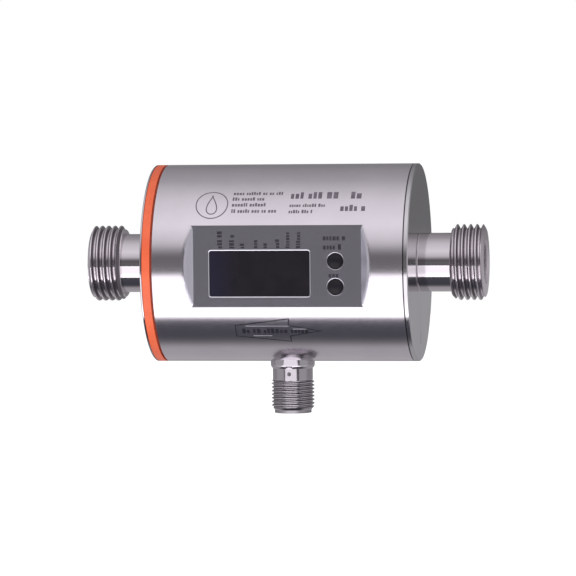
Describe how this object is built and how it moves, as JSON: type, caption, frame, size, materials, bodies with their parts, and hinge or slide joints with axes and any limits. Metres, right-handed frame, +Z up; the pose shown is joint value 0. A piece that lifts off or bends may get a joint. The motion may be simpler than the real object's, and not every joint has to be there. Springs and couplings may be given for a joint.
{
  "type": "electromagnetic flow meter",
  "caption": "Inline magnetic-inductive flow meter: round steel housing with display, keys and plug connector, threaded at both ends for a half-inch pipe.",
  "frame": {"origin": "on the pipe axis at the middle of the overall length", "axes": "+X along the pipe in the direction of flow, -Y out of the display, +Z up, with the plug connector pointing down"},
  "size_m": [0.11, 0.0546, 0.0689],
  "materials": {
    "stainless": "fine satin",
    "turned_steel": "bright turned",
    "orange_ring": "smooth matt",
    "tube_plastic": "machined",
    "black_rubber": "matt",
    "key_rubber": "satin",
    "magnet_steel": "zinc plated",
    "copper": "enamelled wire",
    "wire_cover": "smooth",
    "carrier_plastic": "moulded",
    "circuit_board": "solder mask",
    "component_black": "moulded",
    "lamp_lens": "diffusing",
    "dark_glass": "dark tint, polished",
    "insert_plastic": "moulded",
    "gold_plate": "gold plated",
    "flex_strip": "film",
    "electrode_metal": "polished"
  },
  "bodies": {
    "meter": {"housing_shell": "stainless", "inlet_end_disc": "stainless", "insulating_ring": "orange_ring", "outlet_end_cap": "stainless", "inlet_fitting": "turned_steel", "outlet_fitting": "turned_steel", "measuring_tube": "tube_plastic", "inlet_tube_seal": "black_rubber", "outlet_tube_seal": "black_rubber", "field_yoke": "magnet_steel", "coil_leads": "copper", "rear_electrode_lead": "wire_cover", "electronics_carrier": "carrier_plastic", "main_board": "circuit_board", "main_board_parts": "component_black", "main_board_screws": "turned_steel", "board_link": "component_black", "board_spacers": "turned_steel", "display_board": "circuit_board", "display_board_screws": "turned_steel", "display_module": "component_black", "status_lamps": "lamp_lens", "window_gasket": "black_rubber", "display_lens": "dark_glass", "connector_shell": "turned_steel", "connector_insert": "insert_plastic", "connector_pins": "gold_plate", "connector_board": "circuit_board", "connector_flex": "flex_strip", "front_electrode": "electrode_metal", "front_electrode_seal": "black_rubber", "front_electrode_nut": "turned_steel", "rear_electrode": "electrode_metal", "rear_electrode_seal": "black_rubber", "rear_electrode_nut": "turned_steel", "temperature_probe": "electrode_metal", "temperature_probe_seal": "black_rubber", "temperature_probe_nut": "turned_steel", "upper_pole_shoe": "magnet_steel", "upper_bobbin": "carrier_plastic", "upper_coil": "copper", "lower_pole_shoe": "magnet_steel", "lower_bobbin": "carrier_plastic", "lower_coil": "copper", "mode_switch": "component_black", "set_switch": "component_black"},
    "mode_key": {"mode_key": "key_rubber"},
    "set_key": {"set_key": "key_rubber"}
  },
  "joints": [
    {"name": "mode_key_press", "type": "slide", "parent": "meter", "child": "mode_key", "axis": [0, 1, 0], "range_m": [0, 0.0004], "stiffness_N_per_m": 1000},
    {"name": "set_key_press", "type": "slide", "parent": "meter", "child": "set_key", "axis": [0, 1, 0], "range_m": [0, 0.0004], "stiffness_N_per_m": 1000}
  ]
}
